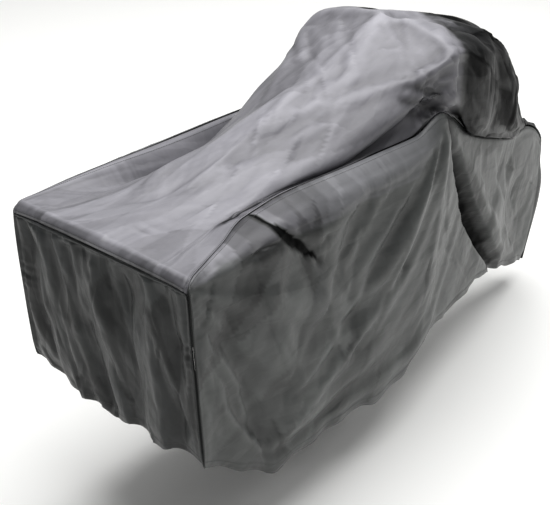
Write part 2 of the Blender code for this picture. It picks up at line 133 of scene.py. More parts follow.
# One row for each cross-section of one half, from the front edge to the tail: crown on the centre plane, then
# (half width, height) of the ridge, the wall of the tent or hood, its lip, the tuck, the seam, the rounded
# edge, the belly and the hem. The leans are how far behind the station the belly and the hem lie.
Station = namedtuple("Station", "y crown ridge wall lip tuck seam edge belly hem belly_lean hem_lean",
                     defaults=(0.0, 0.0))
STATIONS = [Station(*row) for row in (
    (0.0, 0.848, (0.1, 0.848), (0.18, 0.847), (0.225, 0.847), (0.26, 0.846),
     (0.2835, 0.845), (0.287, 0.83), (0.291, 0.6), (0.293, 0.388), 0.01, 0.022),
    (0.01, 0.867, (0.1, 0.867), (0.18, 0.866), (0.225, 0.865), (0.259, 0.864),
     (0.283, 0.863), (0.288, 0.838), (0.291, 0.6), (0.293, 0.383), 0.01, 0.022),
    (0.03, 0.874, (0.1, 0.873), (0.18, 0.872), (0.222, 0.87), (0.255, 0.869),
     (0.28, 0.87), (0.289, 0.842), (0.292, 0.6), (0.2925, 0.372), 0.008, 0.018),
    (0.08, 0.876, (0.1, 0.874), (0.17, 0.871), (0.212, 0.867), (0.245, 0.866),
     (0.276, 0.874), (0.288, 0.845), (0.293, 0.59), (0.2915, 0.345), 0.0, 0.006),
    (0.16, 0.884, (0.1, 0.878), (0.16, 0.87), (0.2, 0.862), (0.23, 0.86),
     (0.27, 0.878), (0.287, 0.86), (0.294, 0.58), (0.289, 0.297)),
    (0.28, 0.905, (0.095, 0.892), (0.15, 0.873), (0.182, 0.855), (0.21, 0.845),
     (0.262, 0.882), (0.281, 0.866), (0.293, 0.55), (0.285, 0.226)),
    (0.4, 0.938, (0.1, 0.912), (0.15, 0.88), (0.176, 0.846), (0.195, 0.826),
     (0.256, 0.885), (0.282, 0.866), (0.291, 0.53), (0.2805, 0.224)),
    (0.52, 0.972, (0.11, 0.937), (0.166, 0.888), (0.184, 0.842), (0.196, 0.814),
     (0.252, 0.888), (0.283, 0.858), (0.288, 0.52), (0.273, 0.217)),
    (0.64, 1.008, (0.125, 0.968), (0.188, 0.908), (0.193, 0.852), (0.201, 0.818),
     (0.248, 0.891), (0.284, 0.851), (0.283, 0.51), (0.2645, 0.2)),
    (0.75, 1.043, (0.14, 1.005), (0.199, 0.955), (0.199, 0.88), (0.204, 0.834),
     (0.243, 0.893), (0.283, 0.848), (0.276, 0.5), (0.2545, 0.18)),
    (0.86, 1.082, (0.15, 1.05), (0.206, 1.006), (0.204, 0.92), (0.207, 0.866),
     (0.237, 0.898), (0.28, 0.846), (0.266, 0.49), (0.2435, 0.188)),
    (0.96, 1.121, (0.16, 1.094), (0.228, 1.06), (0.224, 0.985), (0.216, 0.93),
     (0.228, 0.936), (0.266, 0.84), (0.25, 0.49), (0.234, 0.232)),
    (1.04, 1.145, (0.165, 1.117), (0.24, 1.08), (0.236, 0.96), (0.214, 0.915),
     (0.217, 0.902), (0.24, 0.78), (0.228, 0.5), (0.219, 0.256)),
    (1.15, 1.117, (0.16, 1.095), (0.232, 1.01), (0.212, 0.828), (0.191, 0.846),
     (0.193, 0.828), (0.206, 0.715), (0.196, 0.5), (0.198, 0.247)),
    (1.27, 1.081, (0.15, 1.055), (0.214, 0.95), (0.194, 0.76), (0.17, 0.784),
     (0.172, 0.768), (0.18, 0.675), (0.174, 0.5), (0.173, 0.248)),
    (1.4, 1.033, (0.138, 1.0), (0.196, 0.89), (0.176, 0.708), (0.151, 0.732),
     (0.153, 0.716), (0.16, 0.635), (0.154, 0.48), (0.1455, 0.232)),
    (1.52, 0.968, (0.105, 0.925), (0.146, 0.815), (0.146, 0.668), (0.122, 0.69),
     (0.126, 0.674), (0.136, 0.6), (0.13, 0.44), (0.116, 0.2)),
    (1.6, 0.885, (0.076, 0.84), (0.108, 0.755), (0.12, 0.656), (0.101, 0.674),
     (0.105, 0.658), (0.114, 0.59), (0.108, 0.41), (0.098, 0.172)),
    (1.665, 0.745, (0.054, 0.715), (0.074, 0.684), (0.093, 0.654), (0.083, 0.662),
     (0.087, 0.648), (0.096, 0.58), (0.09, 0.4), (0.081, 0.142)),
    (1.75, 0.64, (0.03, 0.638), (0.048, 0.634), (0.06, 0.629), (0.068, 0.625),
     (0.073, 0.616), (0.079, 0.555), (0.074, 0.38), (0.066, 0.116)),
    (1.82, 0.592, (0.024, 0.591), (0.038, 0.588), (0.048, 0.584), (0.055, 0.579),
     (0.059, 0.57), (0.064, 0.515), (0.061, 0.36), (0.053, 0.098), 0.008, -0.01),
    (1.862, 0.55, (0.018, 0.549), (0.03, 0.547), (0.038, 0.544), (0.044, 0.54),
     (0.048, 0.533), (0.052, 0.48), (0.05, 0.35), (0.046, 0.096), 0.032, -0.03),
)]
# The left rim was drawn in and lies further inboard than the right one, and half of that pull reaches the
# trough beside it, which is filled by it: filled is how much higher its deepest point lies than on the right.
Pull = namedtuple("Pull", "y inward lift filled")
LEFT_PULL = [Pull(*row) for row in (
    (0.0, 0.0, 0.0, 0.0), (0.03, 0.01, -0.002, 0.0), (0.08, 0.024, -0.005, 0.003),
    (0.16, 0.044, -0.005, 0.009), (0.28, 0.073, 0.002, 0.03), (0.4, 0.064, 0.012, 0.046),
    (0.52, 0.05, 0.012, 0.048), (0.64, 0.037, 0.009, 0.03), (0.75, 0.027, 0.007, 0.006),
    (0.86, 0.012, 0.005, 0.0), (0.96, 0.0, 0.0, 0.0),
)]
LEFT_TROUGH_SHARE, LIP_SHARE = 0.5, 0.75  # of the pull, and of the fill at the lip of the trough
RIGHT_CORNER_LIFT, RIGHT_CORNER_REACH = 0.060, 0.160  # the hem is drawn up at the right front corner

LENGTHS = 157  # cells along the cover, about 14 mm each, halved once the cloth has settled
TRIES = 20  # places tried between two stations to find the even steps
TOP_POINTS, TOP_CELLS = ("crown", "ridge", "wall", "lip", "tuck", "seam"), (9, 6, 7, 3, 4)
SIDE_POINTS, SIDE_CELLS = ("seam", "edge", "belly", "hem"), (4, 21, 18)


def steady_curve(places, values, at):
    """A smooth curve through the values that never swings past them (monotone cubic)."""
    places, values = np.asarray(places, float), np.asarray(values, float)
    step = np.diff(places)
    rise = np.diff(values, axis=0) / step.reshape(-1, *[1] * (values.ndim - 1))
    slope = np.zeros_like(values)
    agree = rise[:-1] * rise[1:] > 0
    slope[1:-1] = np.where(agree, 2 * rise[:-1] * rise[1:] / np.where(agree, rise[:-1] + rise[1:], 1), 0)
    slope[0], slope[-1] = rise[0], rise[-1]
    k = np.clip(np.searchsorted(places, at) - 1, 0, len(step) - 1)
    t = (at - places[k]) / step[k]
    return ((1 + 2 * t) * (1 - t) ** 2 * values[k] + t * (1 - t) ** 2 * step[k] * slope[k]
            + t * t * (3 - 2 * t) * values[k + 1] - t * t * (1 - t) * step[k] * slope[k + 1])


def control_points(station, names, side):
    """The named points of one station on one side, as rows of (x, y, z)."""
    pull, lift, filled = 0.0, 0.0, 0.0
    if side > 0 and station.y < LEFT_PULL[-1].y:
        pull, lift, filled = steady_curve([p.y for p in LEFT_PULL], [p[1:] for p in LEFT_PULL], station.y)
    lean = {"belly": station.belly_lean, "hem": station.hem_lean}
    points = []
    for name in names:
        half, height = (0.0, station.crown) if name == "crown" else getattr(station, name)
        if name == "seam":
            half -= pull
            height += lift
        elif name in ("tuck", "lip"):
            half -= LEFT_TROUGH_SHARE * pull
            height += filled * (LIP_SHARE if name == "lip" else 1)
        elif name == "hem" and side < 0:
            height += RIGHT_CORNER_LIFT * max(0, 1 - station.y / RIGHT_CORNER_REACH) ** 2
        points.append((side * half, station.y + lean.get(name, 0.0), height))
    return np.array(points)


def section(station, names, cells, side):
    """The points of one cross-section, the given number of cells between each two named ones."""
    points = control_points(station, names, side)
    length = np.r_[0, np.cumsum(np.maximum(np.linalg.norm(np.diff(points, axis=0), axis=1), 1e-4))]
    places = np.concatenate([np.linspace(length[k], length[k + 1], n + 1)[:-1] for k, n in enumerate(cells)]
                            + [length[-1:]])
    return np.array([steady_curve(length, points, s) for s in places])


def along_line(line):
    """How far along a line of points each of them lies."""
    return np.r_[0, np.cumsum(np.linalg.norm(np.diff(line, axis=0), axis=1))]


def points_at(line, length, at):
    """The points at these lengths along a line, given how far along it each of its own points lies."""
    return np.stack([np.interp(at, length, line[:, k]) for k in range(3)], axis=-1)


def even_steps(line, count):
    """The line again, as this many points at even steps along it."""
    length = along_line(line)
    return points_at(line, length, np.linspace(0, length[-1], count))


def even_rows(count):
    """Places in the table of stations, a fraction between two rows, at even steps along the crown."""
    tries = np.linspace(0, len(STATIONS) - 1, TRIES * len(STATIONS))
    spine = [(s.y, s.crown) for s in STATIONS]
    along = along_line(np.array([steady_curve(np.arange(len(STATIONS)), spine, t) for t in tries]))
    return np.interp(np.linspace(0, along[-1], count), along, tries)


def lofted(names, cells, side):
    """A grid of points with one row for each cross-section, smooth from the front to the tail."""
    known = np.array([section(station, names, cells, side) for station in STATIONS])
    return np.array([steady_curve(np.arange(len(STATIONS)), known, row) for row in even_rows(LENGTHS + 1)])


def patch(top, bottom, left, right):
    """A grid between four edges that meet at its corners, top row first."""
    down = np.linspace(0, 1, len(left))[:, None, None]
    across = np.linspace(0, 1, len(top))[None, :, None]
    corners = ((1 - down) * ((1 - across) * top[0] + across * top[-1])
               + down * ((1 - across) * bottom[0] + across * bottom[-1]))
    return ((1 - down) * top[None] + down * bottom[None]
            + (1 - across) * left[:, None] + across * right[:, None] - corners)


def unit(vectors):
    return vectors / np.maximum(np.linalg.norm(vectors, axis=-1, keepdims=True), 1e-12)


def normals_of(grid, outward):
    """A unit normal at each point of a grid, to the outside of the cover.

    outward is 1 or -1, after the way in which its rows and columns turn.
    """
    return unit(np.cross(np.gradient(grid, axis=0), np.gradient(grid, axis=1))) * outward


def moved_out(grid, outward, height):
    """The grid with each point moved outwards by its height."""
    return grid + height[..., None] * normals_of(grid, outward)


# A fold is a ridge, or with a negative height a trough, along a straight run. Its ends are (half width,
# place) on the top, (place, height) on the sides and (half width, height) on the front. edge is the power by
# which it falls off: KEEN is round, CREASED comes to an edge and TENT has straight flanks. lean is how many
# times as wide as the right flank the left one is, seen from the start.
KEEN, CREASED, TENT = 1.5, 1.0, 0.0
ROUNDED = 0.45  # how blunt the edge of a crease is, as a share of its width
PLEAT = 4.0  # the lean of a crease that is steep on one side only
Fold = namedtuple("Fold", "start end width height edge lean", defaults=(KEEN, 1.0))


def bent_folds(*lines, edge=KEEN, lean=1.0):
    """Folds along bent lines. A line is its start, then the end, width and height of each straight run."""
    made = []
    for line in lines:
        start = line[:2]
        for k in range(2, len(line), 4):
            end, width, height = line[k:k + 2], line[k + 2], line[k + 3]
            made.append(Fold(start, end, width, height, edge, lean))
            start = end
    return tuple(made)


def fold_height(flat, folds):
    """How far the folds lift each point of a panel. flat holds its two coordinates in the folds' own plane.

    Where ridges meet, the highest counts, and where troughs meet, the deepest, so that a bent fold is even.
    """
    ridge, trough = np.zeros(flat.shape[:-1]), np.zeros(flat.shape[:-1])
    for fold in folds:
        start, end = np.array(fold.start), np.array(fold.end)
        run = end - start
        along = ((flat - start) @ run) / (run @ run)
        off = flat - start
        left = run[0] * off[..., 1] - run[1] * off[..., 0] > 0
        away = np.linalg.norm(off - np.clip(along, 0, 1)[..., None] * run, axis=-1)
        away = away / (fold.width * np.where(left, fold.lean, 1.0))
        if fold.edge == CREASED:
            away = np.sqrt(away ** 2 + ROUNDED ** 2) - ROUNDED
        lift = fold.height * (np.maximum(0, 1 - away) if fold.edge == TENT else np.exp(-away ** fold.edge))
        ridge, trough = np.maximum(ridge, lift), np.minimum(trough, lift)
    return ridge + trough


# The edges of a grid: the axis that each lies across, and the way that leads in from it.
EDGES = {"first row": (0, 1), "last row": (0, -1), "first column": (1, 1), "last column": (1, -1)}


def from_edges(grid, edges, reach):
    """0 on these edges of a grid, rising smoothly to 1 this many cells in."""
    cells = np.full(grid.shape[:2], np.inf)
    for axis, way in (EDGES[edge] for edge in edges):
        count = np.arange(grid.shape[axis])[::way]
        cells = np.minimum(cells, count[None] if axis else count[:, None])
    t = np.clip(cells / reach, 0, 1)
    return t * t * (3 - 2 * t)


def halved(grid):
    """The grid with a point put in the middle of every cell side, on a smooth curve."""
    for axis in (0, 1):
        g = np.moveaxis(grid, axis, 0)
        before = np.concatenate([2 * g[:1] - g[1:2], g[:-2]])
        after = np.concatenate([g[2:], 2 * g[-1:] - g[-2:-1]])
        middle = (9 * (g[:-1] + g[1:]) - before - after) / 16
        made = np.empty((2 * len(g) - 1,) + g.shape[1:])
        made[::2], made[1::2] = g, middle
        grid = np.moveaxis(made, 0, axis)
    return grid


def sheet_object(name, grid, outward):
    """A grid of cloth as a mesh object. Its UV map Cut holds the flat cloth's own measures, in metres."""
    rows, columns = grid.shape[:2]
    bm = bmesh.new()
    bmesh.ops.create_grid(bm, x_segments=columns - 1, y_segments=rows - 1, size=0.5)
    for vert, point in zip(bm.verts, grid.reshape(-1, 3)):
        vert.co = point
    facing = np.cross(grid[1, 0] - grid[0, 0], grid[0, 1] - grid[0, 0])
    bm.faces.ensure_lookup_table()
    bm.normal_update()
    if np.dot(np.array(bm.faces[0].normal), facing) * outward < 0:
        bmesh.ops.reverse_faces(bm, faces=bm.faces)
    across = np.cumsum(np.linalg.norm(np.diff(grid, axis=1, prepend=grid[:, :1]), axis=-1), axis=1)
    along = np.cumsum(np.linalg.norm(np.diff(grid, axis=0, prepend=grid[:1]), axis=-1), axis=0)
    across -= across[:, columns // 2:columns // 2 + 1]
    cut = np.stack([across, np.broadcast_to(along.mean(1, keepdims=True), along.shape)], -1).reshape(-1, 2)
    uv = bm.loops.layers.uv.new("Cut")
    for face in bm.faces:
        face.smooth = True
        for loop in face.loops:
            loop[uv].uv = cut[loop.vert.index]
    mesh = bpy.data.meshes.new(name)
    bm.to_mesh(mesh)
    bm.free()
    sheet = bpy.data.objects.new(name, mesh)
    bpy.context.collection.objects.link(sheet)
    return sheet


SETTLE_FRAMES = 24
FURTHEST = 0.009  # no point of the cloth settles further than this from the shape
SAG_CELLS = 4  # a sag wider than this goes, because the cloth is carried there


def blurred(values, cells):
    """The values of a grid, each averaged with those this many cells round it, in three passes."""
    for axis in (0, 1) * 3:
        padded = np.concatenate([np.repeat(np.take(values, [0], axis), cells, axis), values,
                                 np.repeat(np.take(values, [-1], axis), cells, axis)], axis)
        sums = np.cumsum(np.concatenate([np.zeros_like(np.take(padded, [0], axis)), padded], axis), axis)
        width, count = 2 * cells + 1, values.shape[axis]
        ahead = np.take(sums, range(width, width + count), axis)
        values = (ahead - np.take(sums, range(count), axis)) / width
    return values


def settled(name, grid, outward, held, larger):
    """The grid once a cloth that was cut larger than the shape, in x, y and z, has settled on it.

    held is how firmly each point is held where it is, from 0 to 1, which is sewn down.
    """
    sheet = sheet_object(name + "_settling", grid, outward)
    sheet.shape_key_add(name="Basis")
    pattern = sheet.shape_key_add(name="cut")
    pattern.data.foreach_set("co", (grid * larger).reshape(-1))
    group = sheet.vertex_groups.new(name="held")
    for index, weight in enumerate(held.reshape(-1)):
        group.add([index], float(weight), "REPLACE")
    cloth = sheet.modifiers.new("Cloth", "CLOTH")
    cloth.settings.quality = 6
    cloth.settings.mass = 0.12
    cloth.settings.tension_stiffness = cloth.settings.compression_stiffness = 18
    cloth.settings.shear_stiffness = 8
    cloth.settings.bending_stiffness = 0.15
    cloth.settings.vertex_group_mass = "held"
    cloth.settings.pin_stiffness = 1.2
    cloth.settings.rest_shape_key = pattern
    cloth.settings.effector_weights.gravity = 0.4
    cloth.collision_settings.use_collision = False
    cloth.point_cache.frame_start, cloth.point_cache.frame_end = 1, SETTLE_FRAMES
    scene = bpy.context.scene
    for number in range(1, SETTLE_FRAMES + 1):
        scene.frame_set(number)
    found = sheet.evaluated_get(bpy.context.evaluated_depsgraph_get())
    points = np.empty(len(found.data.vertices) * 3)
    found.data.vertices.foreach_get("co", points)
    bpy.data.objects.remove(sheet)
    scene.frame_set(1)
    moved = points.reshape(grid.shape) - grid
    moved -= blurred(moved, SAG_CELLS)
    far = np.linalg.norm(moved, axis=-1, keepdims=True)
    return grid + moved * np.tanh(far / FURTHEST) * FURTHEST / np.maximum(far, 1e-9)


# Facets: how long, wide and high they are, the angle of their length, and how unevenly they cover the cloth.
# tone is how much lighter or darker than its neighbours a facet is painted, as a painted reflection of the
# light that it catches at its own angle.
Facets = namedtuple("Facets", "seed length width height turn calm tone")
BEND, BEND_LONG = 0.25, 3  # how far their edges wander, in widths, and over how many lengths
CALM_SWING, CALM_LONG = 0.7, 0.35  # how much they come and go, and over what length
SWELLS = 9  # waves in the soft noise
RIPPLES, RIPPLES_REACH = (1.0, 1.37, 0.73, 2.6), 2.6  # wavelengths as shares, and how high they add up


def crumpled(flat, kinds):
    """Flat facets that meet in ridges and valleys, as packed cloth keeps them.

    The squared distance to the nearest of some points has an edge wherever two of them are equally near. The
    difference of two such fields is flat in between, with its ridges from one and its valleys from the other.
    Returns the height of each point and how much lighter it is painted, about 0: a painted reflection of its
    facet.
    """
    height, light = np.zeros(flat.shape[:-1]), np.zeros(flat.shape[:-1])
    for kind in kinds:
        rng = np.random.default_rng(kind.seed)
        bend = BEND * kind.width
        x = flat[..., 0] + bend * soft_noise(flat, kind.seed + 100, BEND_LONG * kind.length)
        y = flat[..., 1] + bend * soft_noise(flat, kind.seed + 200, BEND_LONG * kind.length)
        along = (x * math.cos(kind.turn) + y * math.sin(kind.turn)) / kind.length
        across = (y * math.cos(kind.turn) - x * math.sin(kind.turn)) / kind.width
        fields = []
        for _ in range(2):
            nearest, shade = np.full(flat.shape[:-1], np.inf), np.zeros(flat.shape[:-1])
            for i in range(math.floor(along.min()) - 1, math.ceil(along.max()) + 1):
                for j in range(math.floor(across.min()) - 1, math.ceil(across.max()) + 1):
                    a, b = i + rng.uniform(), j + rng.uniform()
                    far = (along - a) ** 2 + (across - b) ** 2
                    shade = np.where(far < nearest, rng.uniform(-1, 1), shade)
                    nearest = np.minimum(nearest, far)
            fields.append(nearest)
            light += kind.tone / 2 * shade
        swing = 0.5 + CALM_SWING * soft_noise(flat, kind.seed + 300, CALM_LONG)
        patchy = np.clip(1 - kind.calm * swing, 0, 1)
        worn = blurred(fields[0], 1) - fields[1]  # ridges wear blunt, valleys do not
        height += kind.height * patchy * worn
    return height, light


def soft_noise(flat, seed, size):
    """Slow random swells, about -1 to 1, of this size in metres."""
    rng = np.random.default_rng(seed)
    value = np.zeros(flat.shape[:-1])
    for _ in range(SWELLS):
        turn, phase = rng.uniform(0, math.tau, 2)
        reach = math.tau / (size * rng.uniform(0.7, 1.6))
        value += np.sin(reach * (flat[..., 0] * math.cos(turn) + flat[..., 1] * math.sin(turn)) + phase)
    return value / math.sqrt(SWELLS)


def ripples(along, seed, wave):
    """Uneven ripples along a line, about -1 to 1, of this wavelength in metres."""
    rng = np.random.default_rng(seed)
    swing = sum(np.sin(math.tau * along / (wave * r) + rng.uniform(0, math.tau)) for r in RIPPLES)
    return swing / RIPPLES_REACH


# Coated polyester: woven from fine filament, dyed dark grey and coated inside, so that it has a satin shine,
# goes pale where light skims it, which is put into its colour as painted light, and keeps the creases of its
# packing. The threads lie about 0.3 mm apart, too fine to show, so the weave is drawn eight times as coarse.
THREAD, DRAWN_COARSER = 0.0003, 8
RADIANS = 20  # of Blender's wave texture to a metre, at a scale of 1
CLOUD, MOTTLE = 0.12, 0.018  # the size of the uneven patches of the coating, large and small
MOTTLE_SHARE = 0.35
PAINTED_SHADE_VALUE = -0.5  # the value that paints shade on cloth in a closed fold, where no light reaches it
PAINTED_LIGHT_GREY = "#88878D"  # the grey painted on level cloth, as painted light where light skims it
# The smallest packing creases, in the finish: facets this long, wide and high, with their length turned.
Crinkle = namedtuple("Crinkle", "length width height turn")
ELSEWHERE = 7.3  # where in the pattern the second of two fields is taken
CRINKLES = (Crinkle(0.130, 0.050, 0.0045, 0.25), Crinkle(0.050, 0.024, 0.0009, -0.50))


def coated_polyester(name, dark, turned=0.0, crisp=1.0):
    """The cloth of one panel, with a faint sheen: dark where it hangs, painted paler where it lies level, as
    painted light, and painted darker in closed folds and creases, as painted shade.

    turned is the angle by which its crinkles are turned further, and crisp how high they are for their size.
    """
    material = bpy.data.materials.new(name)
    material.use_nodes = True
    shader = material.node_tree.nodes["Principled BSDF"]
    add = partial(node, material)
    cut = add("UVMap", {"uv_map": "Cut"}).outputs["UV"]
    crease_at, faded, facet = (add("Attribute", {"attribute_name": label}).outputs["Fac"]
                               for label in ("crease", "faded", "facet"))
    place = add("TexCoord").outputs["Object"]
    cloudy = add("TexNoise", Vector=place, Scale=1 / CLOUD, Detail=3.0, Roughness=0.55)
    mottled = add("TexNoise", Vector=place, Scale=1 / MOTTLE, Detail=2.0)
    blend = add("Math", {"operation": "MULTIPLY_ADD"}, i0=mottled.outputs["Fac"],
                i1=MOTTLE_SHARE, i2=cloudy.outputs["Fac"]).outputs[0]
    patchy = add("MapRange", Value=blend, From_Min=0.42, From_Max=0.92, To_Min=-0.05, To_Max=0.05)
    shade = add("Math", {"operation": "ADD", "use_clamp": True}, i0=patchy.outputs["Result"], i1=faded)
    colour = add("Mix", {"data_type": "RGBA"}, i0=shade.outputs[0], i6=linear(dark), i7=linear(PAINTED_LIGHT_GREY))
    # painted shade: inside a closed fold, where no light comes, the cloth's colour, shine and sheen are
    # turned down
    by_light = {"Value": faded, "From_Min": PAINTED_SHADE_VALUE, "From_Max": 0.0}
    colour_dimmed_in_shade = add("MapRange", **by_light, To_Min=0.06, To_Max=1.0)
    shine = add("MapRange", **by_light, To_Min=0.02, To_Max=0.30)
    sheen_dimmed_in_shade = add("MapRange", **by_light, To_Min=0.0, To_Max=0.06)
    # painted shade: darker down in the creases, and a little lighter on their ridges
    tone = add("MapRange", Value=crease_at, To_Min=0.55, To_Max=1.06).outputs["Result"]
    for factor in (colour_dimmed_in_shade.outputs["Result"], facet):
        tone = add("Math", {"operation": "MULTIPLY"}, i0=tone, i1=factor).outputs[0]
    # the colour with the painted shade of creases and closed folds and a painted reflection on each facet
    worn = add("VectorMath", {"operation": "SCALE"}, i0=colour.outputs[2], Scale=tone)
    rough = add("MapRange", Value=blend, From_Min=0.4, From_Max=0.95, To_Min=0.34, To_Max=0.46)
    weave = [add("TexWave", {"bands_direction": way}, Vector=cut,
                 Scale=math.tau / RADIANS / (THREAD * DRAWN_COARSER), Distortion=0.6).outputs["Fac"]
             for way in "XY"]
    woven = add("Math", {"operation": "MAXIMUM"}, i0=weave[0], i1=weave[1])
    relief = add("Bump", Height=woven.outputs[0], Strength=0.12, Distance=THREAD)
    for row in CRINKLES:
        fields = []
        for shift in (0.0, ELSEWHERE):
            laid = add("Mapping", Vector=cut, Location=(shift, shift, 0),
                       Rotation=(0, 0, row.turn + turned), Scale=(1 / row.width, 1 / row.length, 1))
            near = add("TexVoronoi", {"voronoi_dimensions": "2D"}, Vector=laid.outputs["Vector"], Scale=1.0)
            fields.append(add("Math", {"operation": "POWER"},
                              i0=near.outputs["Distance"], i1=2.0).outputs[0])
        flats = add("Math", {"operation": "SUBTRACT"}, i0=fields[0], i1=fields[1])
        relief = add("Bump", Height=flats.outputs[0], Strength=1.0,
                     Distance=row.height * crisp, Normal=relief.outputs["Normal"])
    for socket, source in (("Base Color", worn.outputs["Vector"]), ("Normal", relief.outputs["Normal"]),
                           ("Roughness", rough.outputs["Result"]), ("Sheen Weight", sheen_dimmed_in_shade.outputs["Result"]),
                           ("Specular IOR Level", shine.outputs["Result"])):
        material.node_tree.links.new(source, shader.inputs[socket])
    for socket, value in (("Metallic", 0.0), ("IOR", 1.5), ("Sheen Roughness", 0.35)):
        shader.inputs[socket].default_value = value
    return material


SHEET = 0.0010  # how thick the sheet is drawn, from the outer face inwards
# Painted shade on the hood and all behind it, which are drawn dark. The line where it starts runs forward
# to both sides.
HOOD_FROM, HOOD_LEAN, HOOD_OVER = 1.17, 0.55, 0.04
HOOD_SHUT, HOOD_UNEVEN = 0.85, 1.3  # depth of the painted shade; facets that caught more light get less
ROLL_OVER, ROLL_DARKER, ROLL_SOFT = 0.018, 0.42, 0.006  # painted shade on the forward-facing rolled front edge
CREASE_DEPTH = 0.004  # how deep a crease is that is drawn at its darkest, in painted shade
WELT = (0.0, 0.0016, 0.0012, -0.0012, -0.0006)  # height of the folded seam, cell by cell from its edge
PUCKER_CELLS, PUCKER_PEAK = 14, 4  # how many cells the puckers reach in, and where they are highest
PUCKERS, BROAD_SHARE = (0.036, 0.090), 0.7  # wavelengths of the fine and the broad ones, and the broad share
SLACK, SLACK_LONG = (0.25, 0.75), 0.31  # how they come and go along the seam, and over what length
SEAM_EASE, FRONT_EASE = 0.0022, 0.0030  # how high they are, and on the front


def sewn(grid, outward, edges, seed, ease):
    """The grid with a welt along its sewn edges and puckers, ease high, where the seam was eased in."""
    height = np.zeros(grid.shape[:2])
    for axis, way in (EDGES[edge] for edge in edges):
        part = np.moveaxis(height, axis, 0)[::way]
        along = along_line(np.moveaxis(grid, axis, 0)[::way][0])
        pulled = np.clip(SLACK[0] + SLACK[1] * ripples(along, seed + 3, SLACK_LONG), 0, 1)
        fine, broad = ripples(along, seed, PUCKERS[0]), ripples(along, seed + 7, PUCKERS[1])
        pucker = pulled * (np.abs(fine) + BROAD_SHARE * broad)
        for cell in range(1, min(PUCKER_CELLS, len(part))):
            lift = WELT[cell] if cell < len(WELT) else 0
            swell = (cell / PUCKER_PEAK) ** 1.5 * math.exp(1.5 * (1 - cell / PUCKER_PEAK))
            part[cell] += lift + ease * swell * pucker
    return moved_out(grid, outward, height)


# Lockstitch in thick polyester thread. Each stitch stands a little out of the cloth and is sunk in it below.
STITCH, STITCH_PITCH, STITCH_WIDE, STITCH_HIGH = 0.0036, 0.0055, 0.0011, 0.0005
STITCH_OUT = 0.3  # how far its middle stands out of the cloth, in stitch heights
STITCH_FROM = 0.01  # the row starts and ends this far from the corners
# The rows of stitches of each kind of panel: the edge, and how many cells in from it a row lies.
TOP_STITCHED = (("first row", 1), ("first column", 1), ("last column", 1), ("last row", 3))
SIDE_STITCHED = (("first row", 1), ("first row", 2), ("first column", 1), ("last column", 3))
FRONT_STITCHED = (("first row", 1), ("first column", 1), ("last column", 1), ("last row", 4))

sewing_thread = bpy.data.materials.new("polyester_sewing_thread")
sewing_thread.use_nodes = True
shader = sewing_thread.node_tree.nodes["Principled BSDF"]
TWIST = 0.004  # length over which the spun thread changes from dark to light
thread_place = node(sewing_thread, "TexCoord").outputs["Object"]
twist = node(sewing_thread, "TexNoise", Vector=thread_place, Scale=1 / TWIST)
spun = node(sewing_thread, "Mix", {"data_type": "RGBA"}, i0=twist.outputs["Fac"],
            i6=linear("#1A1B1B"), i7=linear("#3A3B3B"))
sewing_thread.node_tree.links.new(spun.outputs[2], shader.inputs["Base Color"])
shader.inputs["Roughness"].default_value = 0.55


def stitches(name, grid, outward, lines):
    """The stitches of a panel, one row of them for each line, which lies this many cells in from an edge."""
    normals = normals_of(grid, outward)
    bm = bmesh.new()
    for edge, inset in lines:
        axis, way = EDGES[edge]
        line, normal = (np.moveaxis(values, axis, 0)[::way][inset] for values in (grid, normals))
        length = along_line(line)
        for start in np.arange(STITCH_FROM, length[-1] - STITCH_FROM, STITCH_PITCH):
            ends = points_at(line, length, np.array([start, start + STITCH]))
            up = unit(points_at(normal, length, start))
            run = ends[1] - ends[0]
            side = unit(np.cross(up, run)) * STITCH_WIDE / 2
            for vert in bmesh.ops.create_cube(bm, size=1)["verts"]:
                x, y, z = vert.co
                vert.co = ((ends[0] + ends[1]) / 2 + x * run + 2 * y * side
                           + (z + STITCH_OUT) * STITCH_HIGH * up)
    mesh = bpy.data.meshes.new(name)
    bm.to_mesh(mesh)
    bm.free()
    thread = bpy.data.objects.new(name, mesh)
    thread.data.materials.append(sewing_thread)
    bpy.context.collection.objects.link(thread)
    return thread


FOLD_FADE, CREASE_FADE = 6, 8  # cells at a sewn edge in which folds, and creases, fade out
LOOSE, HELD_CELLS = 0.9, 3  # how loose the cloth is while it settles, this many cells in from its edges
LEVEL_FROM, LEVEL_OVER = 0.30, 0.60  # how far up cloth faces where painted light starts to pale it, and over what


def draped(name, grid, flat, outward, folds, sewn_edges, hem, larger):
    """The grid with its folds raised, once its cloth has settled, on cells half the size.

    flat holds the grid in the folds' own plane, hem names its free edges, and larger is as in settled.
    """
    raised = fold_height(flat, folds) * from_edges(grid, sewn_edges, FOLD_FADE)
    grid = moved_out(grid, outward, raised)
    loose = LOOSE * from_edges(grid, sewn_edges, HELD_CELLS) * from_edges(grid, hem, HELD_CELLS)
    return halved(settled(name, grid, outward, 1 - loose, larger))


def relieved(cloth, outward, relief, sewn_edges, share=1.0):
    """The cloth with this relief, which fades out at its sewn edges, and of which each point gets a share."""
    relief = relief * from_edges(cloth, sewn_edges, CREASE_FADE) * share
    return moved_out(cloth, outward, relief)


